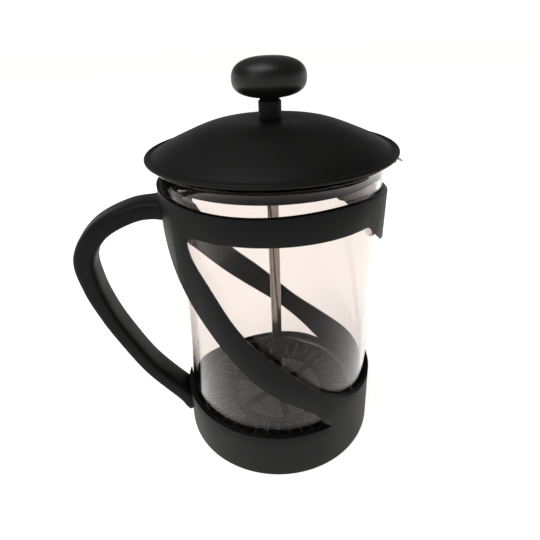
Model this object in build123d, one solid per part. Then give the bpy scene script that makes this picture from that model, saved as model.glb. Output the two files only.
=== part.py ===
from build123d import *
import os
from math import degrees, sqrt

# French press, drawn plunger down. Millimetres, +Z up, origin on the table under the axis.
# The spout points along +X and the handle along -X.

# Driving sizes: glass beaker
GLASS_RADIUS = 45.0
GLASS_WALL = 1.8
GLASS_FLOOR = 2.6
GLASS_CORNER = 5.0
MOUTH_HEIGHT = 140.7
MOUTH_FLARE = 2.9
FLARE_HEIGHT = 7.0
SPOUT_REACH = 16.2
SPOUT_HALF_WIDTH = 17.0
SPOUT_DEPTH = 13.8
SPOUT_DROP = 10.4
SPOUT_ROOT = 0.2
SPOUT_BACK = 0.62

# Driving sizes: cage frame and handle
FRAME_WALL = 2.1
FRAME_FLOOR = 3.4
FOOT_PROUD = 0.2
CUP_SWELL = 0.7
SWELL_HEIGHT = 32.0
CUP_RIM = 25.4
CUP_RIM_LEFT = 12.0
RING_BELOW_MOUTH = 10.0
RING_DEPTH = 10.5
RING_BACK_RISE = 1.6
RING_SIDE_RISE = 0.3
RING_FRONT_DIP = 5.5
BIB_DEPTH = 16.2
BIB_RISE = 6.5
BASE_ROUND = 1.2
CORNER_ROUND = 3.8
TIP_ROUND = 1.5
HANDLE_WIDTH = 15.2
HANDLE_REACH = 35.5
HANDLE_THICKNESS = 8.7
HANDLE_EDGE_ROUND = 2.8
HANDLE_LOW_ROOT = 12.0
HANDLE_ROOT_RISE = 1.7

# Driving sizes: lid and guide
LID_OVERHANG = 2.6
LID_SHELL = 1.6
DOME_RISE = 11.2
SKIRT_DEPTH = 7.2
SKIRT_WALL = 1.6
NECK_RADIUS = 4.5
NECK_HEIGHT = 7.2
NECK_CHAMFER = 0.8
BUSH_FLANGE = 1.6
BUSH_FLANGE_RADIUS = 8.0
SLOT_COUNT = 11
SLOT_WIDTH = 1.4

# Driving sizes: plunger
ROD_RADIUS = 2.5
KNOB_RADIUS = 14.3
KNOB_HEIGHT = 14.4
INSERT_RADIUS = 3.9
INSERT_LENGTH = 9.0
SPRING_WIRE_COIL = 3.2
PLATE_THICKNESS = 0.7
MESH_THICKNESS = 0.5
CROSS_THICKNESS = 0.9
SPOKES = 6
SPOKE_WIDTH = 3.6
SECTOR_OUTER = 23.0
RIM_SLOTS = 36
RIM_SLOT_WIDTH = 1.6
HUB_RADIUS = 7.5
BOSS_HEIGHT = 11.0
CROWN_HEIGHT = 4.6
CROWN_RADIUS = 4.2
NUT_RADIUS = 4.6
NUT_HEIGHT = 1.6
CROSS_RIM = 5.0
SPOKE_TURN = 32.0

# Driving sizes: soft pads
CUSHION_THICKNESS = 1.0
CUSHION_RADIUS = 30.0
BASE_PAD_RADIUS = 36.0
BASE_PAD_THICKNESS = 1.4
BASE_PAD_ROUND = 0.4

# Named clearances
MOVING_GAP = 0.3
RUNNING_GAP = 0.05
SKIRT_GAP = 0.5
FLOOR_GAP = 0.8
MOUTH_GAP = 0.4
INSERT_GAP = 0.2
SECTOR_GAP = 0.5

# Radii and heights that follow from the driving sizes
FRAME_INNER = GLASS_RADIUS + MOVING_GAP
FRAME_OUTER = FRAME_INNER + FRAME_WALL
CUP_FLOOR_TOP = FOOT_PROUD + FRAME_FLOOR
CUSHION_TOP = CUP_FLOOR_TOP + CUSHION_THICKNESS
GLASS_BOTTOM = CUSHION_TOP + MOVING_GAP
GLASS_FLOOR_TOP = GLASS_BOTTOM + GLASS_FLOOR
GLASS_INNER = GLASS_RADIUS - GLASS_WALL
RING_TOP = MOUTH_HEIGHT - RING_BELOW_MOUTH
RING_BOTTOM = RING_TOP - RING_DEPTH
BIB_BOTTOM = RING_BOTTOM - BIB_DEPTH
LID_RADIUS = GLASS_RADIUS + MOUTH_FLARE + LID_OVERHANG
LID_UNDERSIDE = MOUTH_HEIGHT + MOUTH_GAP
LID_EDGE_TOP = LID_UNDERSIDE + LID_SHELL
DOME_TOP = LID_EDGE_TOP + DOME_RISE
NECK_TOP = DOME_TOP + NECK_HEIGHT
KNOB_BOTTOM = NECK_TOP + MOVING_GAP
KNOB_TOP = KNOB_BOTTOM + KNOB_HEIGHT
SKIRT_OUTER = GLASS_INNER - SKIRT_GAP
SKIRT_INNER = SKIRT_OUTER - SKIRT_WALL
NUT_BOTTOM = GLASS_FLOOR_TOP + FLOOR_GAP
CROSS_BOTTOM = NUT_BOTTOM + NUT_HEIGHT
MESH_BOTTOM = CROSS_BOTTOM + CROSS_THICKNESS
PLATE_BOTTOM = MESH_BOTTOM + MESH_THICKNESS
PLATE_TOP = PLATE_BOTTOM + PLATE_THICKNESS
BOSS_TOP = PLATE_TOP + BOSS_HEIGHT
COIL_RADIUS = SPRING_WIRE_COIL / 2
COIL_CENTRE = GLASS_INNER - MOVING_GAP - COIL_RADIUS
INSERT_TOP = KNOB_BOTTOM + INSERT_LENGTH
WIDE = 4 * FRAME_OUTER

# Side-view strap edges: shares of the radius, and of the drop from the ring to the cup's rim
STRAP_TOP_EDGE = [(-0.774, 0.000), (-0.664, 0.196), (-0.440, 0.401), (-0.109, 0.581),
                  (0.182, 0.726), (0.482, 0.849), (0.740, 0.908), (1.000, 0.923)]
STRAP_LOW_EDGE = [(-1.000, 0.023), (-0.922, 0.210), (-0.785, 0.349), (-0.565, 0.520),
                  (-0.175, 0.735), (0.232, 0.908), (0.544, 1.049), (0.735, 1.127)]

# Bib under the spout: where its side starts at the ring and where it turns, as shares of the radius
BIB_START = 0.62
BIB_CORNER = 0.80

# Lid's top surface: shares of the lid's radius, and of the dome's rise
DOME_LINE = [(0.955, 0.0), (0.908, 0.10), (0.818, 0.285), (0.70, 0.51),
             (0.56, 0.775), (0.40, 0.95), (0.24, 0.999)]

# Pouring lip: shares of its depth, reach and half width
SPOUT_LINE = [(0.0, 0.0, 0.62), (0.2, 0.78, 0.80), (0.5, 1.05, 0.94), (1.06, 1.4, 1.06)]

# Handle's centre line from its top root down: shares of its reach, height and thickness
HANDLE_LINE = [(-0.10, 0.999, 0.90), (0.32, 0.991, 0.90), (0.73, 0.930, 0.95), (0.965, 0.825, 1.04),
               (0.965, 0.700, 0.96), (0.875, 0.570, 0.86), (0.735, 0.440, 0.82), (0.465, 0.246, 0.84),
               (0.055, 0.050, 0.92), (-0.10, -0.018, 0.94)]


def save(shape, name):
    """Write one node's solids to its STEP file."""
    export_step(shape, "parts/" + name + ".step")


def tube(outer, inner, low, high):
    """An upright tube between two heights."""
    wall = Cylinder(outer, high - low, align=(Align.CENTER, Align.CENTER, Align.MIN))
    core = Cylinder(inner, high - low, align=(Align.CENTER, Align.CENTER, Align.MIN))
    return Pos(0, 0, low) * (wall - core)


def disc(radius, low, high):
    """An upright solid disc between two heights."""
    return Pos(0, 0, low) * Cylinder(radius, high - low, align=(Align.CENTER, Align.CENTER, Align.MIN))


def side_cut(outline, near, far):
    """A cutter with a side-view (XZ) outline that runs across the part from y=near to y=far."""
    face = make_face(outline)
    return Pos(0, far, 0) * extrude(face, amount=far - near, dir=(0, -1, 0))


def edge_points(edge):
    """Side-view points of a strap edge, from its shares of the radius and of the window's height."""
    return [(share * FRAME_OUTER, RING_BOTTOM - drop * (RING_BOTTOM - CUP_RIM)) for share, drop in edge]


def upper_window():
    """Side-view opening between the ring, its bib and the straps' upper edge."""
    points = edge_points(STRAP_TOP_EDGE)
    front = FRAME_OUTER + 10
    corner = (points[0][0] + CORNER_ROUND, RING_BOTTOM)
    with BuildLine(Plane.XZ) as outline:
        strap = Spline([(points[0][0], RING_BOTTOM - CORNER_ROUND)] + points[1:], tangents=[(0, -1), (1, 0)])
        Polyline(strap @ 1, (front, points[-1][1]), (front, BIB_BOTTOM), (FRAME_OUTER, BIB_BOTTOM),
                 (BIB_CORNER * FRAME_OUTER, BIB_BOTTOM + BIB_RISE),
                 (BIB_START * FRAME_OUTER, RING_BOTTOM), corner)
        RadiusArc(corner, strap @ 0, -CORNER_ROUND)
    return outline


def lower_window(rim_points):
    """Side-view opening between the straps' lower edge and the cup's rim."""
    points = edge_points(STRAP_LOW_EDGE)
    rim_back = rim_points[0][1]
    back = -FRAME_OUTER - 10
    tip = rim_points[-1]
    kept = [p for p in points if p[0] < tip[0] - 4 and p[1] > tip[1] + 3]
    with BuildLine(Plane.XZ) as outline:
        strap = Spline(kept + [tip], tangents=[(0.1, -1), (1, -0.75)])
        Polyline(strap @ 0, (back, kept[0][1]), (back, rim_back), rim_points[0])
        if len(rim_points) > 2:
            Spline(rim_points)
        else:
            Line(rim_points[0], rim_points[1])
    return outline


def ring_top_cut():
    """Side-view region above the ring: it dips under the spout and rises behind the handle."""
    high = MOUTH_HEIGHT + 20
    with BuildLine(Plane.XZ) as outline:
        edge = Spline([(-FRAME_OUTER - 1, RING_TOP + RING_BACK_RISE),
                       (-0.8 * FRAME_OUTER, RING_TOP + RING_SIDE_RISE),
                       (0, RING_TOP), (0.6 * FRAME_OUTER, RING_TOP - RING_SIDE_RISE),
                       (FRAME_OUTER + 1, RING_TOP - RING_FRONT_DIP)])
        Polyline(edge @ 1, (FRAME_OUTER + 1, high), (-FRAME_OUTER - 1, high), edge @ 0)
    return outline


def frame_form(top):
    """Outside of the frame as a solid: straight above, swelling a little down to the base."""
    swell = Cone(FRAME_OUTER + CUP_SWELL, FRAME_OUTER, SWELL_HEIGHT - FOOT_PROUD,
                 align=(Align.CENTER, Align.CENTER, Align.MIN))
    return disc(FRAME_OUTER, SWELL_HEIGHT, top) + Pos(0, 0, FOOT_PROUD) * swell


def cage_frame():
    """Ring, two sweeping straps and base cup, moulded in one."""
    top = RING_TOP + RING_BACK_RISE
    body = frame_form(top) - disc(FRAME_INNER, CUP_FLOOR_TOP, top)
    base_edge = body.edges().filter_by(GeomType.CIRCLE).sort_by(Axis.Z)[0]
    body = fillet(base_edge, BASE_ROUND)
    body = body - side_cut(ring_top_cut().line, -WIDE, WIDE)
    body = body - side_cut(upper_window().line, -WIDE, WIDE)
    right_rim = [(-FRAME_OUTER, CUP_RIM), (0.374 * FRAME_OUTER, CUP_RIM)]
    left_rim = [(-FRAME_OUTER, CUP_RIM), (-0.8 * FRAME_OUTER, 0.75 * CUP_RIM_LEFT + 0.35 * CUP_RIM),
                (-0.3 * FRAME_OUTER, CUP_RIM_LEFT), (0.735 * FRAME_OUTER, CUP_RIM_LEFT + 1)]
    body = body - side_cut(lower_window(right_rim).line, -WIDE, 0)
    body = body - side_cut(lower_window(left_rim).line, 0, WIDE)
    front_edges = [e for e in body.edges().filter_by(Axis.Y) if e.center().X > 0]
    body = fillet([e for e in front_edges if abs(e.center().Z - CUP_RIM) < 1], TIP_ROUND)
    body = fillet([e for e in front_edges if e.center().Z > BIB_BOTTOM], CORNER_ROUND)
    return body - disc(BASE_PAD_RADIUS, 0, BASE_PAD_THICKNESS)


def base_pad():
    """Soft round pad let into the underside of the cup, which the press stands on."""
    pad = disc(BASE_PAD_RADIUS, 0, BASE_PAD_THICKNESS)
    return fillet(pad.edges().sort_by(Axis.Z)[0], BASE_PAD_ROUND)


def handle_side(stations, side):
    """One long edge of the handle in side view: the centre line offset by half its thickness."""
    points = []
    for k, (x, z, thickness) in enumerate(stations):
        before = stations[max(k - 1, 0)]
        after = stations[min(k + 1, len(stations) - 1)]
        run = (after[0] - before[0], after[1] - before[1])
        length = sqrt(run[0] ** 2 + run[1] ** 2)
        offset = side * thickness / 2
        points.append((x - run[1] / length * offset, z + run[0] / length * offset))
    return points


def handle():
    """Bowed grip from the ring down to the cup, with softened edges."""
    top_root = RING_BOTTOM + HANDLE_ROOT_RISE
    height = top_root - HANDLE_LOW_ROOT
    stations = [(-FRAME_OUTER - reach * HANDLE_REACH, HANDLE_LOW_ROOT + rise * height,
                 share * HANDLE_THICKNESS) for reach, rise, share in HANDLE_LINE]
    with BuildLine(Plane.XZ) as outline:
        outer = Spline(handle_side(stations, 1))
        inner = Spline(handle_side(stations, -1))
        Line(outer @ 0, inner @ 0)
        Line(outer @ 1, inner @ 1)
    half = HANDLE_WIDTH / 2
    grip = side_cut(outline.line, -half, half)
    long_edges = [e for e in grip.edges() if e.geom_type == GeomType.BSPLINE]
    grip = fillet(long_edges, HANDLE_EDGE_ROUND)
    return grip - frame_form(RING_TOP + 20)


def cushion_pad():
    """Soft disc between the cup's floor and the glass."""
    return disc(CUSHION_RADIUS, CUP_FLOOR_TOP, CUSHION_TOP)


def spout_funnel(inset):
    """The pulled-out pouring lip as a trumpet shape, inset by the glass wall for its inside."""
    low = MOUTH_HEIGHT - SPOUT_DEPTH
    rings = []
    back = SPOUT_BACK * GLASS_RADIUS
    for rise, reach, width in SPOUT_LINE:
        tip = GLASS_RADIUS - SPOUT_ROOT + reach * SPOUT_REACH - inset
        centre = (tip + back) / 2
        place = Pos(centre, 0, low + rise * SPOUT_DEPTH)
        rings.append(place * Ellipse((tip - back) / 2, width * SPOUT_HALF_WIDTH - inset))
    return loft(rings)


def beaker_section(inside):
    """Half section of the glass: its outside or its inside surface, closed on the axis."""
    wall = GLASS_WALL if inside else 0
    radius = GLASS_RADIUS - wall
    corner = GLASS_CORNER - wall
    bottom = GLASS_FLOOR_TOP if inside else GLASS_BOTTOM
    mouth = radius + MOUTH_FLARE
    flare = MOUTH_HEIGHT - FLARE_HEIGHT
    top = MOUTH_HEIGHT + 5
    with BuildSketch(Plane.XZ) as section:
        with BuildLine():
            Line((0, bottom), (radius - corner, bottom))
            arc = TangentArc((radius - corner, bottom), (radius, bottom + corner), tangent=(1, 0))
            Line(arc @ 1, (radius, flare))
            lip = Spline([(radius, flare), (mouth, MOUTH_HEIGHT)], tangents=[(0, 1), (0.5, 1)])
            Polyline(lip @ 1, (mouth, top), (0, top), (0, bottom))
        make_face()
    return revolve(section.sketch, Axis.Z)


def glass_beaker():
    """Straight-sided beaker with a flared mouth and a pouring spout."""
    glass = beaker_section(False) + spout_funnel(0)
    hollow = beaker_section(True) + spout_funnel(GLASS_WALL)
    lip_start = sqrt((GLASS_RADIUS + MOUTH_FLARE) ** 2 - SPOUT_HALF_WIDTH ** 2)
    lip_end = GLASS_RADIUS + SPOUT_REACH
    slope = SPOUT_DROP / (lip_end - lip_start)
    with BuildLine(Plane.XZ) as outline:
        Polyline((lip_start, MOUTH_HEIGHT), (lip_end + 20, MOUTH_HEIGHT - slope * (lip_end + 20 - lip_start)),
                 (lip_end + 20, MOUTH_HEIGHT + 20), (lip_start, MOUTH_HEIGHT + 20), (lip_start, MOUTH_HEIGHT))
    glass = glass - hollow
    glass = glass - side_cut(outline.line, -WIDE, WIDE)
    above = disc(WIDE, MOUTH_HEIGHT, MOUTH_HEIGHT + 40)
    return glass - above


def dome_points(lowered):
    """Points of the lid's top surface from near the lip in to its hole, or the same lowered."""
    rising = [(share * LID_RADIUS, LID_EDGE_TOP + rise * DOME_RISE - lowered) for share, rise in DOME_LINE]
    return rising + [(NECK_RADIUS + RUNNING_GAP, DOME_TOP - lowered)]


def lid_dome():
    """Sombrero-shaped lid shell: flat brim over the glass and a crowned middle."""
    with BuildSketch(Plane.XZ) as section:
        with BuildLine():
            upper = Spline(dome_points(0))
            lower = Spline(dome_points(LID_SHELL))
            Line(upper @ 1, lower @ 1)
            brim_top = (LID_RADIUS - LID_SHELL / 2, LID_EDGE_TOP)
            brim_low = (LID_RADIUS - LID_SHELL / 2, LID_UNDERSIDE)
            Line(upper @ 0, brim_top)
            ThreePointArc(brim_top, (LID_RADIUS, LID_EDGE_TOP - LID_SHELL / 2), brim_low)
            Line(brim_low, lower @ 0)
        make_face()
    return revolve(section.sketch, Axis.Z)


def space_above_lid_underside():
    """Everything above the lid's underside, to trim what meets it."""
    high = NECK_TOP + 30
    with BuildSketch(Plane.XZ) as section:
        with BuildLine():
            lower = Spline(dome_points(LID_SHELL))
            Polyline(lower @ 1, (0, (lower @ 1).Y), (0, high), (LID_RADIUS, high),
                     (LID_RADIUS, LID_UNDERSIDE), lower @ 0)
        make_face()
    return revolve(section.sketch, Axis.Z)


def lid_liner():
    """Skirt that hangs inside the glass, with a comb of strainer slots at the spout."""
    low = LID_UNDERSIDE - SKIRT_DEPTH
    skirt = tube(SKIRT_OUTER, SKIRT_INNER, low, DOME_TOP) - space_above_lid_underside()
    pitch = degrees(2 * SLOT_WIDTH / SKIRT_OUTER)
    for k in range(SLOT_COUNT):
        angle = (k - (SLOT_COUNT - 1) / 2) * pitch
        slot = Box(3 * SKIRT_WALL, SLOT_WIDTH, SKIRT_DEPTH - 2 * SKIRT_WALL)
        skirt = skirt - Rot(0, 0, angle) * Pos(SKIRT_OUTER - SKIRT_WALL / 2, 0, low + SKIRT_DEPTH / 2) * slot
    return skirt


def guide_bush():
    """Neck that stands on the lid and guides the rod, with its flange under the lid."""
    flange_top = DOME_TOP - LID_SHELL - MOVING_GAP
    neck = disc(NECK_RADIUS, flange_top, NECK_TOP)
    neck = chamfer(neck.edges().sort_by(Axis.Z)[-1], NECK_CHAMFER)
    bush = neck + disc(BUSH_FLANGE_RADIUS, flange_top - BUSH_FLANGE, flange_top)
    return bush - disc(ROD_RADIUS + RUNNING_GAP, 0, NECK_TOP)


def knob_blank():
    """Flattened round knob, solid."""
    middle = KNOB_BOTTOM + 0.47 * KNOB_HEIGHT
    with BuildSketch(Plane.XZ) as section:
        with BuildLine():
            seat = (0.36 * KNOB_RADIUS, KNOB_BOTTOM)
            low_side = Spline([seat, (0.80 * KNOB_RADIUS, KNOB_BOTTOM + 0.15 * KNOB_HEIGHT),
                               (KNOB_RADIUS, middle)], tangents=[(1, 0.05), (0, 1)])
            high_side = Spline([low_side @ 1, (0.84 * KNOB_RADIUS, KNOB_TOP - 0.165 * KNOB_HEIGHT),
                                (0.45 * KNOB_RADIUS, KNOB_TOP - 0.03 * KNOB_HEIGHT), (0, KNOB_TOP)],
                               tangents=[(0, 1), (-1, 0)])
            Polyline(high_side @ 1, (0, KNOB_BOTTOM), seat)
        make_face()
    return revolve(section.sketch, Axis.Z)


def knob():
    """Knob with a blind hole for its threaded insert."""
    return knob_blank() - disc(INSERT_RADIUS, 0, INSERT_TOP)


def knob_insert():
    """Metal insert moulded into the knob, which the rod screws into."""
    return tube(INSERT_RADIUS, ROD_RADIUS, KNOB_BOTTOM + INSERT_GAP, INSERT_TOP)


def plunger_rod():
    """Straight rod from the bottom nut to the top of the knob's insert."""
    return disc(ROD_RADIUS, NUT_BOTTOM, INSERT_TOP)


def crown_nut():
    """Notched nut that locks the filter stack on the rod."""
    nut = tube(CROWN_RADIUS, ROD_RADIUS, BOSS_TOP, BOSS_TOP + CROWN_HEIGHT)
    notch = Box(CROWN_RADIUS, CROWN_RADIUS / 3, CROWN_HEIGHT / 2)
    for k in range(SPOKES):
        nut = nut - Rot(0, 0, k * 360 / SPOKES) * Pos(CROWN_RADIUS, 0, BOSS_TOP + CROWN_HEIGHT) * notch
    return nut


def hub_boss():
    """Tapered boss between the spoked plate and the crown nut."""
    taper = Cone(HUB_RADIUS, CROWN_RADIUS, BOSS_HEIGHT, align=(Align.CENTER, Align.CENTER, Align.MIN))
    return Pos(0, 0, PLATE_TOP) * taper - disc(ROD_RADIUS, 0, BOSS_TOP + 1)


def spiral_plate():
    """Top plate: spokes round the hub, then a rim of narrow radial slots."""
    plate = tube(COIL_CENTRE, ROD_RADIUS, PLATE_BOTTOM, PLATE_TOP)
    windows = tube(SECTOR_OUTER, HUB_RADIUS + SECTOR_GAP, PLATE_BOTTOM, PLATE_TOP)
    spoke = Pos(SECTOR_OUTER / 2, 0, PLATE_TOP) * Box(SECTOR_OUTER, SPOKE_WIDTH, 4 * PLATE_THICKNESS)
    for k in range(SPOKES):
        windows = windows - Rot(0, 0, SPOKE_TURN + k * 360 / SPOKES) * spoke
    slot_out = COIL_CENTRE - COIL_RADIUS - 1.5
    slot_in = SECTOR_OUTER + 3
    slot = Pos((slot_in + slot_out) / 2, 0, PLATE_TOP) * Box(slot_out - slot_in, RIM_SLOT_WIDTH,
                                                            4 * PLATE_THICKNESS)
    slots = [Rot(0, 0, k * 360 / RIM_SLOTS) * slot for k in range(RIM_SLOTS)]
    return plate - windows - slots


def coil_spring():
    """The ring that the edge spring fills, slotted for the plate and mesh it clasps."""
    centre_height = (MESH_BOTTOM + PLATE_TOP) / 2
    ring = Pos(0, 0, centre_height) * Torus(COIL_CENTRE, COIL_RADIUS)
    return ring - disc(COIL_CENTRE, MESH_BOTTOM, PLATE_TOP)


def filter_mesh():
    """Woven mesh disc, drawn as a thin solid."""
    return tube(COIL_CENTRE, ROD_RADIUS, MESH_BOTTOM, PLATE_BOTTOM)


def cross_plate():
    """Bottom plate: a rim and four arms that press the mesh against the top plate."""
    outer = COIL_CENTRE - COIL_RADIUS - MOVING_GAP
    plate = tube(outer, ROD_RADIUS, CROSS_BOTTOM, MESH_BOTTOM)
    windows = tube(outer - CROSS_RIM, NUT_RADIUS + 4, CROSS_BOTTOM, MESH_BOTTOM)
    arm = Box(2 * outer, 2 * SPOKE_WIDTH, 4 * CROSS_THICKNESS)
    for turn in (45, 135):
        windows = windows - Pos(0, 0, CROSS_BOTTOM) * Rot(0, 0, turn) * arm
    return plate - windows


def bottom_nut():
    """Hexagonal nut under the cross plate."""
    with BuildSketch(Plane.XY.offset(NUT_BOTTOM)) as section:
        RegularPolygon(NUT_RADIUS, 6)
    nut = extrude(section.sketch, amount=NUT_HEIGHT)
    return nut - disc(ROD_RADIUS, 0, CROSS_BOTTOM)


NODES = {
    "cage_frame": cage_frame, "handle": handle, "base_pad": base_pad, "cushion_pad": cushion_pad,
    "glass_beaker": glass_beaker, "lid_dome": lid_dome, "lid_liner": lid_liner, "guide_bush": guide_bush,
    "knob": knob, "knob_insert": knob_insert, "plunger_rod": plunger_rod, "crown_nut": crown_nut,
    "hub_boss": hub_boss, "spiral_plate": spiral_plate, "coil_spring": coil_spring,
    "filter_mesh": filter_mesh, "cross_plate": cross_plate, "bottom_nut": bottom_nut,
}

os.makedirs("parts", exist_ok=True)
for name, make in NODES.items():
    save(make(), name)
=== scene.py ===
"""French press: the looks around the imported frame. Metres, +Z up, spout along +X, handle along -X."""
from math import cos, exp, pi, radians, sin, sqrt, tan

import bmesh
import bpy
from mathutils import Matrix, Vector


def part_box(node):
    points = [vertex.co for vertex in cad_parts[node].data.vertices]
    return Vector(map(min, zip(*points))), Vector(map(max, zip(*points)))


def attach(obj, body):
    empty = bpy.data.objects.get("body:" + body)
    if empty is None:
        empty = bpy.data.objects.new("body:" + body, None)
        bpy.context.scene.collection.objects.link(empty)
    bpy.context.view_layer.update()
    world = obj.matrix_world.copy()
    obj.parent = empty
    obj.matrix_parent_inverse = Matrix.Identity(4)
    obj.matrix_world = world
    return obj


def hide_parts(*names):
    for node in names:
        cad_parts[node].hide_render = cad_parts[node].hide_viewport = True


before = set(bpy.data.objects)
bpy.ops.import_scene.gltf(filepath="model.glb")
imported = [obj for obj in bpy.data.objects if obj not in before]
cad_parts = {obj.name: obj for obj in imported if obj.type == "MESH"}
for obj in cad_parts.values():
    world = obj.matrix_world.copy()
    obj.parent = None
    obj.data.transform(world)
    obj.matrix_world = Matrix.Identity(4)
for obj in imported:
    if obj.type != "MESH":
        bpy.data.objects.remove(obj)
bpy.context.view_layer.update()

MM = 0.001
TINY = 1e-7
ROUND_STEPS = 192
SHARP_ANGLE = radians(38)
BEVEL_ANGLE = radians(35)
WELD_DISTANCE = 0.002


# ---------------------------------------------------------------- colours and nodes

def srgb(code):
    """An sRGB hex colour as linear RGBA."""
    parts = [int(code[k:k + 2], 16) / 255 for k in (1, 3, 5)]
    linear = [p / 12.92 if p <= 0.04045 else ((p + 0.055) / 1.055) ** 2.4 for p in parts]
    return (*linear, 1.0)


def add_node(tree, kind, inputs=None, **settings):
    """Add a node with its settings; an input given as a socket is linked, any other is set."""
    made = tree.nodes.new(kind)
    for key, value in settings.items():
        setattr(made, key, value)
    for key, value in (inputs or {}).items():
        if isinstance(value, bpy.types.NodeSocket):
            tree.links.new(value, made.inputs[key])
        else:
            made.inputs[key].default_value = value
    return made


def start_material(name):
    """A new material's node tree and its Principled shader, already joined to the output."""
    material = bpy.data.materials.new(name)
    material.use_nodes = True
    tree = material.node_tree
    tree.nodes.clear()
    shader = add_node(tree, "ShaderNodeBsdfPrincipled")
    add_node(tree, "ShaderNodeOutputMaterial", {"Surface": shader.outputs["BSDF"]})
    return material, tree, shader


def noise(tree, size_mm, detail=2.0, stretch=(1, 1, 1)):
    """A noise pattern whose features are about size_mm across; stretch lengthens them on an axis."""
    place = add_node(tree, "ShaderNodeTexCoord")
    scale = [1 / (size_mm * MM * s) for s in stretch]
    mapped = add_node(tree, "ShaderNodeMapping", {"Vector": place.outputs["Object"], "Scale": scale})
    pattern = add_node(tree, "ShaderNodeTexNoise", {"Vector": mapped.outputs["Vector"], "Scale": 1.0,
                                                    "Detail": detail})
    return pattern.outputs["Fac"]


def blend_colours(tree, fac, low, high):
    """A colour that runs from low to high as fac goes through its middle range."""
    ramp = add_node(tree, "ShaderNodeValToRGB", {"Fac": fac})
    ramp.color_ramp.elements[0].position = 0.3
    ramp.color_ramp.elements[0].color = srgb(low)
    ramp.color_ramp.elements[1].position = 0.7
    ramp.color_ramp.elements[1].color = srgb(high)
    return ramp.outputs["Color"]


def spread_value(tree, fac, low, high):
    """A number that runs from low to high as fac goes through its middle range."""
    spread = add_node(tree, "ShaderNodeMapRange", {"Value": fac, "From Min": 0.3, "From Max": 0.7,
                                                   "To Min": low, "To Max": high})
    return spread.outputs["Result"]


def bump(tree, height, depth_mm, strength=1.0):
    """Surface relief of about depth_mm from a height pattern."""
    relief = add_node(tree, "ShaderNodeBump", {"Height": height, "Distance": depth_mm * MM,
                                               "Strength": strength})
    return relief.outputs["Normal"]


def add_inputs(tree, shader, inputs):
    """Set or link the shader's own sockets."""
    for key, value in inputs.items():
        if isinstance(value, bpy.types.NodeSocket):
            tree.links.new(value, shader.inputs[key])
        else:
            shader.inputs[key].default_value = value


# ---------------------------------------------------------------- materials

def moulded_polypropylene():
    """Injection-moulded black polypropylene: a spark-eroded tool leaves a fine satin grain."""
    material, tree, shader = start_material("moulded_polypropylene")
    cloud = noise(tree, 14, detail=3)
    grain = noise(tree, 0.5, detail=2)
    add_inputs(tree, shader, {
        "Base Color": blend_colours(tree, cloud, "#0b0b0b", "#101010"),
        "Roughness": spread_value(tree, cloud, 0.46, 0.54),
        "Specular IOR Level": 0.11,
        "IOR": 1.49,
        "Normal": bump(tree, grain, 0.03, 0.35)})
    return material


def moulded_lid_plastic():
    """Black nylon lid: a smoother tool than the frame's, so its brim takes a soft line of light."""
    material, tree, shader = start_material("moulded_lid_nylon")
    cloud = noise(tree, 18, detail=3)
    grain = noise(tree, 0.45, detail=2)
    add_inputs(tree, shader, {
        "Base Color": blend_colours(tree, cloud, "#0a0a09", "#0e0e0d"),
        "Roughness": spread_value(tree, cloud, 0.52, 0.60),
        "Specular IOR Level": 0.12,
        "IOR": 1.53,
        "Normal": bump(tree, grain, 0.02, 0.3)})
    return material


def polished_phenolic():
    """Compression-moulded phenolic knob, polished by hands: smooth, with faint rubbed patches."""
    material, tree, shader = start_material("polished_phenolic")
    cloud = noise(tree, 9, detail=3)
    add_inputs(tree, shader, {
        "Base Color": blend_colours(tree, cloud, "#0d0d0c", "#121110"),
        "Roughness": spread_value(tree, cloud, 0.34, 0.42),
        "Specular IOR Level": 0.2,
        "IOR": 1.6,
        "Normal": bump(tree, noise(tree, 0.6), 0.01, 0.3)})
    return material


def borosilicate_glass():
    """Drawn borosilicate glass: clear with a faint warm cast, and slow ripples from the drawing."""
    material, tree, shader = start_material("borosilicate_glass")
    ripple = noise(tree, 16, detail=1, stretch=(1, 1, 4))
    add_inputs(tree, shader, {
        "Base Color": srgb("#ebe6e3"),
        "Roughness": 0.0,
        "IOR": 1.47,
        # The grey Specular Tint is painted shade: it dims the glass reflections as if the room in front were
        # darker.
        "Specular Tint": srgb("#6a6a6a"),
        "Transmission Weight": 1.0,
        "Normal": bump(tree, ripple, 0.05, 0.25)})
    return material


def drawn_stainless(name, tone):
    """Cold-drawn stainless steel of one tone: hairlines run along its length."""
    material, tree, shader = start_material(name)
    lines = noise(tree, 0.25, detail=2, stretch=(1, 1, 60))
    add_inputs(tree, shader, {
        "Base Color": srgb(tone),
        "Metallic": 1.0,
        "Roughness": spread_value(tree, lines, 0.10, 0.20),
        "Normal": bump(tree, lines, 0.01, 0.3)})
    return material


def stamped_stainless():
    """Stamped stainless sheet: very dark grey, browner in patches."""
    material, tree, shader = start_material("stamped_stainless")
    bloom = noise(tree, 7, detail=4)
    scratches = noise(tree, 0.5, detail=3, stretch=(6, 1, 1))
    add_inputs(tree, shader, {
        "Base Color": blend_colours(tree, bloom, "#2e2d2a", "#42403c"),
        "Metallic": 1.0,
        "Roughness": spread_value(tree, scratches, 0.38, 0.52),
        "Normal": bump(tree, scratches, 0.01, 0.4)})
    return material


def woven_stainless():
    """Woven stainless filter cloth: each wire is drawn, dulled where coffee dries on it."""
    material, tree, shader = start_material("woven_stainless")
    stain = noise(tree, 5, detail=3)
    add_inputs(tree, shader, {
        "Base Color": blend_colours(tree, stain, "#b5b3ab", "#d0cec6"),
        "Metallic": 1.0,
        "Roughness": spread_value(tree, stain, 0.42, 0.55)})
    return material


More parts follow.
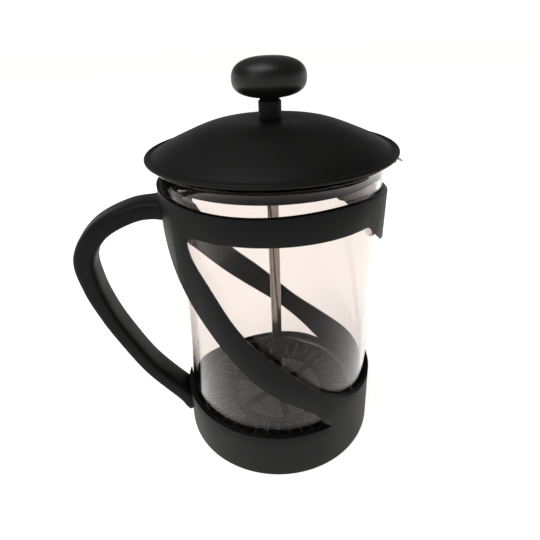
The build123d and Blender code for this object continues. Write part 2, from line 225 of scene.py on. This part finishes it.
def turned_brass():
    """Turned brass: fine rings from the tool."""
    material, tree, shader = start_material("turned_brass")
    rings = noise(tree, 0.4, detail=2, stretch=(30, 30, 1))
    add_inputs(tree, shader, {
        "Base Color": srgb("#b98f4a"),
        "Metallic": 1.0,
        "Roughness": spread_value(tree, rings, 0.24, 0.36),
        "Normal": bump(tree, rings, 0.02, 0.4)})
    return material


def nitrile_rubber():
    """Black nitrile rubber: matt, with a chalky bloom."""
    material, tree, shader = start_material("nitrile_rubber")
    bloom = noise(tree, 6, detail=4)
    add_inputs(tree, shader, {
        "Base Color": blend_colours(tree, bloom, "#1b1b1b", "#262625"),
        "Roughness": spread_value(tree, bloom, 0.72, 0.85),
        "Specular IOR Level": 0.3,
        "Normal": bump(tree, noise(tree, 0.5), 0.04, 0.5)})
    return material


# ---------------------------------------------------------------- outlines and meshes

def rounded(corners, steps=4):
    """Points of a closed outline of (radius, height, rounding) corners, in millimetres."""
    points = []
    for k, (x, z, rounding) in enumerate(corners):
        here = Vector((x, z))
        if rounding == 0:
            points.append((x, z))
            continue
        before = (Vector(corners[k - 1][:2]) - here).normalized()
        after = (Vector(corners[(k + 1) % len(corners)][:2]) - here).normalized()
        half = before.angle(after) / 2
        centre = here + (before + after).normalized() * rounding / sin(half)
        start = here + before * rounding / tan(half) - centre
        end = here + after * rounding / tan(half) - centre
        for step in range(steps + 1):
            turned = start.lerp(end, step / steps).normalized() * rounding
            points.append(tuple(centre + turned))
    return points


def smooth_line(points, steps):
    """A smooth curve through the points, which keep any number of coordinates."""
    known = [Vector(p) for p in points]
    known = [known[0] * 2 - known[1]] + known + [known[-1] * 2 - known[-2]]
    curve = []
    for a, b, c, d in zip(known, known[1:], known[2:], known[3:]):
        for step in range(steps):
            t = step / steps
            curve.append(b + ((c - a) * t + (a * 2 - b * 5 + c * 4 - d) * t ** 2
                              + (b * 3 - a - c * 3 + d) * t ** 3) / 2)
    return curve + [known[-2]]


def revolved(outline, steps=ROUND_STEPS):
    """Vertices and faces of a closed (radius, height) outline turned about the Z axis."""
    verts, rings, faces = [], [], []
    for radius, height in outline:
        first = len(verts)
        if radius < TINY:
            verts.append((0, 0, height * MM))
            rings.append([first] * steps)
            continue
        for k in range(steps):
            angle = 2 * pi * k / steps
            verts.append((radius * cos(angle) * MM, radius * sin(angle) * MM, height * MM))
        rings.append(list(range(first, first + steps)))
    for low, high in zip(rings, rings[1:] + rings[:1]):
        for k in range(steps):
            after = (k + 1) % steps
            corners = [low[k], low[after], high[after], high[k]]
            face = list(dict.fromkeys(corners))
            if len(face) > 2:
                faces.append(face)
    return verts, faces


def tube_along(path, radius, sides, closed=False, squash=1.0):
    """Vertices and faces of a wire that follows (point, side direction) pairs."""
    verts, faces = [], []
    count = len(path)
    for k, (point, side) in enumerate(path):
        before = path[k - 1][0] if closed or k else point
        after = path[(k + 1) % count][0] if closed or k + 1 < count else point
        along = (after - before).normalized()
        across = along.cross(side).normalized()
        up = across.cross(along).normalized()
        for s in range(sides):
            turn = 2 * pi * s / sides
            verts.append(point + across * cos(turn) * radius + up * sin(turn) * radius * squash)
    spans = count if closed else count - 1
    for k in range(spans):
        low, high = k * sides, ((k + 1) % count) * sides
        for s in range(sides):
            n = (s + 1) % sides
            faces.append((low + s, low + n, high + n, high + s))
    if not closed:
        faces.append(tuple(range(sides)))
        faces.append(tuple(range((count - 1) * sides, count * sides)))
    return verts, faces


def make_piece(name, parts, material, body, slot, *nodes):
    """One shaded mesh piece from (vertices, faces) parts, tied to its body, with its CAD nodes hidden; slot
    is not used.
    """
    verts, faces = [], []
    for part_verts, part_faces in parts:
        first = len(verts)
        verts += [tuple(v) for v in part_verts]
        faces += [tuple(first + k for k in face) for face in part_faces]
    mesh = bpy.data.meshes.new(name)
    mesh.from_pydata(verts, [], faces)
    tidy = bmesh.new()
    tidy.from_mesh(mesh)
    bmesh.ops.recalc_face_normals(tidy, faces=tidy.faces)
    tidy.to_mesh(mesh)
    tidy.free()
    mesh.materials.append(material)
    mesh.shade_smooth()
    mesh.set_sharp_from_angle(angle=SHARP_ANGLE)
    piece = bpy.data.objects.new(name, mesh)
    bpy.context.scene.collection.objects.link(piece)
    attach(piece, body)
    if nodes:
        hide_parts(*nodes)
    return piece


def finish_cad_node(name, material, edge_mm):
    """Give a CAD node its real material and softly broken edges."""
    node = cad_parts[name]
    node.data.materials.clear()
    node.data.materials.append(material)
    weld = node.modifiers.new("weld", "WELD")
    weld.merge_threshold = WELD_DISTANCE * MM
    edges = node.modifiers.new("broken_edges", "BEVEL")
    edges.width = edge_mm * MM
    edges.segments = 3
    edges.limit_method = "ANGLE"
    edges.angle_limit = BEVEL_ANGLE
    edges.harden_normals = True
    return node


def sizes(node):
    """A CAD node's (largest radius, lowest height, highest height) in millimetres."""
    low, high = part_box(node)
    return high.y / MM, low.z / MM, high.z / MM


# ---------------------------------------------------------------- glass beaker

GLASS_WALL = 1.8
GLASS_FLOOR = 2.6
GLASS_CORNER = 5.0
MOUTH_FLARE = 2.9
FLARE_HEIGHT = 8.0
SPOUT_HALF_ANGLE = radians(27)
SPOUT_DEPTH = 13.0
SPOUT_DROP = 10.5


def beaker_outline(radius, low, high):
    """Side outline of the beaker: outside up to the rolled rim, then inside back down to the axis."""
    body = radius - MOUTH_FLARE
    outer = []
    inner = []
    for step in range(9):
        turn = pi / 2 * step / 8
        outer.append((body - GLASS_CORNER + GLASS_CORNER * sin(turn),
                      low + GLASS_CORNER - GLASS_CORNER * cos(turn)))
        bend = GLASS_CORNER - GLASS_WALL
        inner.append((body - GLASS_WALL - bend + bend * sin(turn),
                      low + GLASS_FLOOR + bend - bend * cos(turn)))
    wall_top = high - FLARE_HEIGHT
    for step in range(1, 25):
        z = low + GLASS_CORNER + (wall_top - low - GLASS_CORNER) * step / 24
        outer.append((body, z))
        inner.append((body - GLASS_WALL, max(z, inner[-1][1] + 0.2)))
    half = GLASS_WALL / 2
    for step in range(1, 11):
        share = step / 10
        outer.append((body + MOUTH_FLARE * share ** 2, wall_top + (FLARE_HEIGHT - half) * share))
        inner.append((body - GLASS_WALL + MOUTH_FLARE * share ** 2, wall_top + (FLARE_HEIGHT - half) * share))
    rim = [(radius - half + half * cos(turn), high - half + half * sin(turn))
           for turn in (pi * step / 8 for step in range(1, 8))]
    floor = [(0, low + GLASS_FLOOR), (0.5 * body, low + GLASS_FLOOR)]
    base = [(0, low + 0.4), (0.45 * body, low + 0.3), (0.75 * body, low)]
    return base + outer + rim + inner[::-1] + floor[::-1]


def pull_spout(vertex, radius_out, reach, high):
    """Move one point of the mouth outward and down, as a jack pulls the spout in hot glass."""
    x, y, z = (c / MM for c in vertex)
    radius = sqrt(x * x + y * y)
    rise = (z - (high - SPOUT_DEPTH)) / SPOUT_DEPTH
    if rise <= 0 or x <= 0 or radius < 0.7 * reach:
        return vertex
    angle = abs(Vector((x, y)).angle(Vector((1, 0))))
    if angle >= SPOUT_HALF_ANGLE:
        return vertex
    side = cos(pi / 2 * angle / SPOUT_HALF_ANGLE) ** 2
    pulled = (reach - radius_out) * side ** 1.3 * rise ** 1.3
    drop = SPOUT_DROP * side ** 1.6 * rise ** 2.4
    grow = 1 + pulled / radius
    return (x * grow * MM, y * (1 + 0.25 * pulled / radius) * MM, (z - drop) * MM)


def glass_beaker(glass):
    """The beaker: even wall, rounded heel, flared mouth with a fire-polished rim and a pulled spout."""
    radius, low, high = sizes("glass_beaker")
    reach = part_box("glass_beaker")[1].x / MM
    verts, faces = revolved(beaker_outline(radius, low, high), 288)
    verts = [pull_spout(v, radius, reach, high) for v in verts]
    return make_piece("beaker_glass", [(verts, faces)], glass, "beaker", "glass", "glass_beaker")


# ---------------------------------------------------------------- lid, neck and knob

LID_SHELL = 1.6
LIP_RADIUS = 0.85
NECK_RADIUS = 4.5
NECK_GAP = 0.05


def lid_shell(plastic):
    """Sombrero lid: rolled lip, shallow drip groove, then the long sweep of the crown."""
    radius, low, high = sizes("lid_dome")
    rise = high - low - LID_SHELL
    bore = NECK_RADIUS + NECK_GAP
    shares = [(0.968, 0.0), (0.945, 0.015), (0.925, 0.06), (0.895, 0.14), (0.86, 0.225), (0.818, 0.32),
              (0.76, 0.43), (0.70, 0.54), (0.63, 0.665), (0.56, 0.78), (0.48, 0.885), (0.40, 0.95),
              (0.32, 0.985), (0.24, 0.997), (0.15, 1.0), (bore / radius, 1.0)]
    top = [(share * radius, low + LID_SHELL - 0.25 + up * (rise + 0.25)) for share, up in shares]
    top = [tuple(p) for p in smooth_line(top, 4)]
    under = [(r, max(z - LID_SHELL, low)) for r, z in top[::-1]]
    lip_centre = (radius - LIP_RADIUS, low + LIP_RADIUS + 0.1)
    lip = [(lip_centre[0] + LIP_RADIUS * cos(turn), lip_centre[1] + LIP_RADIUS * sin(turn))
           for turn in (radians(-90 + 200 * step / 14) for step in range(15))]
    return make_piece("lid_shell", [revolved(top + under + lip)], plastic, "lid", "lid_plastic",
                      "lid_dome")


def guide_neck(plastic):
    """Neck that stands on the lid and guides the rod: chamfered top, flange held under the lid."""
    flange, low, high = sizes("guide_bush")
    neck = NECK_RADIUS
    bore = sizes("plunger_rod")[0] + NECK_GAP
    corners = [(bore, low, 0.2), (flange, low, 0.4), (flange, low + 1.6, 0.3), (neck, low + 1.6, 0.15),
               (neck, high - 0.9, 0.35), (neck - 0.9, high, 0.3), (bore, high, 0.25)]
    return make_piece("guide_neck", [revolved(rounded(corners), 96)], plastic, "lid_guide", "lid_plastic",
                      "guide_bush")


KNOB_WAIST = 0.47
KNOB_STEPS = 48
KNOB_TOP_POWER = 2.5
KNOB_LOW_POWER = 2.6


def knob_cap(phenolic):
    """Flattened round knob with a soft equator and a flat seat over its insert."""
    radius, low, high = sizes("knob")
    tall = high - low
    insert, _, insert_top = sizes("knob_insert")
    middle = low + KNOB_WAIST * tall
    skin = []
    for step in range(KNOB_STEPS + 1):
        turn = -pi / 2 * 0.86 + pi / 2 * 1.86 * step / KNOB_STEPS
        power = 2 / (KNOB_TOP_POWER if turn > 0 else KNOB_LOW_POWER)
        span = high - middle if turn > 0 else middle - low
        side = cos(turn) ** power if step < KNOB_STEPS else 0
        skin.append((radius * side, middle + span * abs(sin(turn)) ** power * (1 if turn > 0 else -1)))
    skin = [(0.34 * radius, low)] + skin
    hole = [(0, insert_top), (insert, insert_top), (insert, low + 0.4), (insert + 0.5, low)]
    return make_piece("knob_cap", [revolved(skin + hole)], phenolic, "plunger", "knob_plastic", "knob")


GROOVE_COUNT = 5
GROOVE_DEPTH = 0.4
GROOVE_EDGE = 0.1


def threaded_insert(brass):
    """Grooved brass insert that the rod screws into."""
    radius, low, high = sizes("knob_insert")
    bore = sizes("plunger_rod")[0]
    pitch = (high - low) / (2 * GROOVE_COUNT)
    wall = []
    for k in range(2 * GROOVE_COUNT):
        depth = GROOVE_DEPTH * (k % 2)
        wall += [(radius - depth, low + k * pitch + GROOVE_EDGE),
                 (radius - depth, low + (k + 1) * pitch - GROOVE_EDGE)]
    return make_piece("knob_thread_insert", [revolved([(bore, low)] + wall + [(bore, high)], 96)], brass,
                      "plunger", "brass", "knob_insert")


# ---------------------------------------------------------------- plunger

THREAD_PITCH = 0.7
THREAD_DEPTH = 0.3
THREAD_COUNT = 16
THREAD_LEAD_IN = 0.6
ROD_CHAMFER = 0.5


def plunger_rod(steel):
    """Drawn rod with chamfered ends and a cut thread at the filter end."""
    radius, low, high = sizes("plunger_rod")
    first = low + THREAD_LEAD_IN
    outline = [(0, low), (radius - THREAD_LEAD_IN, low)]
    for k in range(THREAD_COUNT):
        outline += [(radius, first + k * THREAD_PITCH),
                    (radius - THREAD_DEPTH, first + (k + 0.5) * THREAD_PITCH)]
    outline += [(radius, first + THREAD_COUNT * THREAD_PITCH), (radius, high - ROD_CHAMFER),
                (radius - ROD_CHAMFER, high), (0, high)]
    return make_piece("plunger_shaft", [revolved(outline, 64)], steel, "plunger", "polished_steel",
                      "plunger_rod")


def hub_boss(steel):
    """Drawn and tapered boss that spreads the rod's push over the top plate."""
    radius, low, high = sizes("hub_boss")
    rod = sizes("plunger_rod")[0]
    top = sizes("crown_nut")[0]
    corners = [(rod, low, 0), (radius, low, 0.3), (radius, low + 1.4, 0.4), (radius - 1.6, low + 2.4, 0.8),
               (top, high - 1.5, 1.5), (top, high, 0.3), (rod, high, 0)]
    return make_piece("filter_boss", [revolved(rounded(corners), 96)], steel, "plunger", "steel", "hub_boss")


SPRING_WIRE = 0.26
SPRING_TURNS = 230
SPRING_STEPS = 10
SPRING_SIDES = 6


def edge_spring(steel):
    """Coil spring bent into a ring round the filter's edge, as a real helix of wire."""
    radius, low, high = sizes("coil_spring")
    coil = (high - low) / 2
    ring = radius - coil
    path = []
    for k in range(SPRING_TURNS * SPRING_STEPS):
        share = k / (SPRING_TURNS * SPRING_STEPS)
        around = 2 * pi * share
        turn = 2 * pi * share * SPRING_TURNS
        out = Vector((cos(around), sin(around), 0))
        side = out * cos(turn) + Vector((0, 0, sin(turn)))
        centre = out * ring + Vector((0, 0, (low + high) / 2))
        path.append(((centre + side * (coil - SPRING_WIRE)) * MM, side))
    helix = tube_along(path, SPRING_WIRE * MM, SPRING_SIDES, closed=True)
    return make_piece("edge_spring", [helix], steel, "plunger", "polished_steel", "coil_spring")


CLOTH_PITCH = 0.9
CLOTH_WIRE = 0.15
CLOTH_LIFT = 0.14
CLOTH_EDGE = 0.2
CLOTH_SIDES = 4


def woven_cloth(steel):
    """Plain-woven filter cloth; its real 0.3 mm pitch is drawn at 0.9 mm so that the weave shows."""
    radius, low, high = sizes("filter_mesh")
    middle = (low + high) / 2
    count = int(radius / CLOTH_PITCH)
    parts = []
    for row in range(-count, count + 1):
        offset = row * CLOTH_PITCH
        half = sqrt(max(radius ** 2 - offset ** 2, 0)) - CLOTH_EDGE
        reach = int(half / CLOTH_PITCH)
        if reach < 1:
            continue
        for warp in (True, False):
            path = []
            for k in range(-2 * reach, 2 * reach + 1):
                along = k * CLOTH_PITCH / 2
                wave = CLOTH_LIFT * cos(pi * (along / CLOTH_PITCH + row)) * (1 if warp else -1)
                place = (along, offset, middle + wave) if warp else (offset, along, middle + wave)
                path.append((Vector(place) * MM, Vector((0, 0, 1))))
            parts.append(tube_along(path, CLOTH_WIRE * MM, CLOTH_SIDES))
    return make_piece("filter_cloth", parts, steel, "plunger", "mesh_steel", "filter_mesh")


# ---------------------------------------------------------------- frame and handle

FRAME_RADIUS = 47.4
HANDLE_REACH = 35.5
HANDLE_LOW_ROOT = 12.0
HANDLE_TOP_ROOT = 121.9
HANDLE_THICKNESS = 8.7
HANDLE_SQUARENESS = 0.5
HANDLE_STEPS = 14
HANDLE_SIDES = 40
ROOT_FLARE = 0.14
ROOT_FADE = 1.6
HANDLE_LINE = [(-0.04, 0.999, 0.90), (0.32, 0.991, 0.90), (0.73, 0.930, 0.95), (0.965, 0.825, 1.04),
               (0.965, 0.700, 0.96), (0.875, 0.570, 0.86), (0.735, 0.440, 0.82), (0.465, 0.246, 0.84),
               (0.055, 0.050, 0.92), (-0.04, 0.005, 0.94)]


def bowed_handle(plastic):
    """Bowed grip: a soft-cornered section swept down from the ring to the cup."""
    wall = FRAME_RADIUS
    half_width = sizes("handle")[0]
    height = HANDLE_TOP_ROOT - HANDLE_LOW_ROOT
    stations = [(-wall - reach * HANDLE_REACH, HANDLE_LOW_ROOT + rise * height, share * HANDLE_THICKNESS)
                for reach, rise, share in HANDLE_LINE]
    line = smooth_line(stations, HANDLE_STEPS)
    sides = HANDLE_SIDES
    verts, faces = [], []
    for k, (x, z, thickness) in enumerate(line):
        before = line[max(k - 1, 0)]
        after = line[min(k + 1, len(line) - 1)]
        along = Vector((after[0] - before[0], after[1] - before[1])).normalized()
        root = 1 + ROOT_FLARE * exp(min(x + wall, 0) / ROOT_FADE)
        for s in range(sides):
            turn = 2 * pi * s / sides
            across = abs(cos(turn)) ** HANDLE_SQUARENESS * (1 if cos(turn) > 0 else -1)
            through = abs(sin(turn)) ** HANDLE_SQUARENESS * (1 if sin(turn) > 0 else -1)
            off = through * thickness / 2 * root
            verts.append(((x - along[1] * off) * MM, across * half_width * root * MM,
                          (z + along[0] * off) * MM))
    for k in range(len(line) - 1):
        for s in range(sides):
            n = (s + 1) % sides
            faces.append((k * sides + s, k * sides + n, (k + 1) * sides + n, (k + 1) * sides + s))
    faces.append(tuple(range(sides)))
    faces.append(tuple(range((len(line) - 1) * sides, len(line) * sides)))
    return make_piece("bowed_handle", [(verts, faces)], plastic, "frame", "frame_plastic", "handle")


GRIP_GROOVES = 5
GRIP_DEPTH = 0.25
GRIP_TOP_HALF = 0.8
GRIP_MOUTH_HALF = 1.2
PAD_CHAMFER = 0.4


def base_pad(rubber):
    """Round rubber pad with concentric grip grooves under the cup."""
    radius, low, high = sizes("base_pad")
    outline = [(0, high), (radius, high), (radius, low + PAD_CHAMFER), (radius - PAD_CHAMFER, low)]
    for k in range(GRIP_GROOVES, 0, -1):
        middle = radius * k / (GRIP_GROOVES + 1)
        outline += [(middle + GRIP_MOUTH_HALF, low), (middle + GRIP_TOP_HALF, low + GRIP_DEPTH),
                    (middle - GRIP_TOP_HALF, low + GRIP_DEPTH), (middle - GRIP_MOUTH_HALF, low)]
    outline.append((0, low))
    return make_piece("base_grip_pad", [revolved(outline, 128)], rubber, "frame", "rubber", "base_pad")


def cushion(rubber):
    """Soft washer that the beaker stands on, dished in the middle."""
    radius, low, high = sizes("cushion_pad")
    outline = [(0, low), (radius - 0.2, low), (radius, low + 0.3), (radius, high - 0.3), (radius - 0.4, high),
               (radius - 4, high), (radius - 5, high - 0.3), (0, high - 0.3)]
    return make_piece("beaker_cushion", [revolved(outline, 128)], rubber, "frame", "rubber", "cushion_pad")


# ---------------------------------------------------------------- stage

VIEW_AZIMUTH = radians(-7.8)
VIEW_ELEVATION = radians(29.57)
VIEW_ROLL = radians(-2.16)
VIEW_DISTANCE = 0.1988
VIEW_LENS = 27.97
VIEW_TARGET = Vector((-0.00231, 0.00032, 0.0851))
FLOOR_SIZE = 12


def camera():
    """A close wide view from a little left of the front, looking down at the lid."""
    back = Vector((sin(VIEW_AZIMUTH) * cos(VIEW_ELEVATION), -cos(VIEW_AZIMUTH) * cos(VIEW_ELEVATION),
                   sin(VIEW_ELEVATION)))
    level = Vector((0, 0, 1)).cross(back).normalized()
    up = back.cross(level)
    right = level * cos(VIEW_ROLL) + up * sin(VIEW_ROLL)
    tilted = up * cos(VIEW_ROLL) - level * sin(VIEW_ROLL)
    data = bpy.data.cameras.new("camera")
    data.lens = VIEW_LENS
    data.sensor_width = 36
    data.clip_start = 0.005
    eye = bpy.data.objects.new("camera", data)
    bpy.context.scene.collection.objects.link(eye)
    turn = Matrix((right, tilted, back)).transposed()
    eye.matrix_world = Matrix.Translation(VIEW_TARGET + back * VIEW_DISTANCE) @ turn.to_4x4()
    bpy.context.scene.camera = eye


def softbox(name, place, aim, size, power):
    """A large square area light aimed at a point."""
    data = bpy.data.lights.new(name, "AREA")
    data.shape = "SQUARE"
    data.size = size
    data.energy = power
    lamp = bpy.data.objects.new(name, data)
    bpy.context.scene.collection.objects.link(lamp)
    lamp.location = place
    lamp.rotation_euler = (Vector(aim) - Vector(place)).to_track_quat("-Z", "Y").to_euler()


def room():
    """Plain white surroundings, bright near the horizon and dimmer overhead."""
    world = bpy.data.worlds.new("room")
    bpy.context.scene.world = world
    world.use_nodes = True
    tree = world.node_tree
    tree.nodes.clear()
    place = add_node(tree, "ShaderNodeTexCoord")
    split = add_node(tree, "ShaderNodeSeparateXYZ", {"Vector": place.outputs["Generated"]})
    ramp = add_node(tree, "ShaderNodeValToRGB", {"Fac": split.outputs["Z"]})
    stops = [(0.0, 1.0), (0.07, 1.0), (0.26, 0.16), (1.0, 0.12)]
    while len(ramp.color_ramp.elements) < len(stops):
        ramp.color_ramp.elements.new(0.5)
    for element, (position, grey) in zip(ramp.color_ramp.elements, stops):
        element.position = position
        element.color = (grey, grey, grey, 1)
    glow = add_node(tree, "ShaderNodeBackground", {"Color": ramp.outputs["Color"], "Strength": 1.12})
    add_node(tree, "ShaderNodeOutputWorld", {"Surface": glow.outputs["Background"]})


def floor():
    """Plain pale floor."""
    material, tree, shader = start_material("pale_floor")
    add_inputs(tree, shader, {
        "Base Color": srgb("#e8e6e4"),
        "Roughness": 0.9,
        "Specular IOR Level": 0.1,
        "Emission Color": srgb("#fffdfb"),
        "Emission Strength": 0.86})
    mesh = bpy.data.meshes.new("floor")
    half = FLOOR_SIZE / 2
    corners = [(-half, -half, 0), (half, -half, 0), (half, half, 0), (-half, half, 0)]
    mesh.from_pydata(corners, [], [(0, 1, 2, 3)])
    mesh.materials.append(material)
    piece = bpy.data.objects.new("floor", mesh)
    bpy.context.scene.collection.objects.link(piece)


# ---------------------------------------------------------------- build

polypropylene = moulded_polypropylene()
lid_nylon = moulded_lid_plastic()
phenolic = polished_phenolic()
glass = borosilicate_glass()
rod_steel = drawn_stainless("drawn_stainless", "#8b837a")
# Polished stainless whose bright tone #e2dfdb is partly painted light: it is raised above the steel's own
# tone so the edge spring and nuts look lit from overhead.
painted_light_steel = drawn_stainless("polished_stainless_painted_light", "#e2dfdb")
sheet_steel = stamped_stainless()
cloth_steel = woven_stainless()
brass = turned_brass()
rubber = nitrile_rubber()

finish_cad_node("cage_frame", polypropylene, 0.45)
finish_cad_node("lid_liner", lid_nylon, 0.2)
finish_cad_node("crown_nut", painted_light_steel, 0.2)
finish_cad_node("spiral_plate", sheet_steel, 0.12)
finish_cad_node("cross_plate", sheet_steel, 0.15)
finish_cad_node("bottom_nut", painted_light_steel, 0.2)
bowed_handle(polypropylene)
base_pad(rubber)
cushion(rubber)
glass_beaker(glass)
lid_shell(lid_nylon)
guide_neck(lid_nylon)
knob_cap(phenolic)
threaded_insert(brass)
plunger_rod(rod_steel)
hub_boss(sheet_steel)
edge_spring(painted_light_steel)
woven_cloth(cloth_steel)

floor()
room()
softbox("overhead", (-0.35, -0.1, 1.2), (0, 0, 0.08), 0.8, 9)
softbox("left_fill", (-1.1, -0.7, 0.8), (0, 0, 0.08), 0.7, 3)
bpy.context.scene.view_settings.view_transform = "Standard"
camera()

bpy.context.view_layer.update()
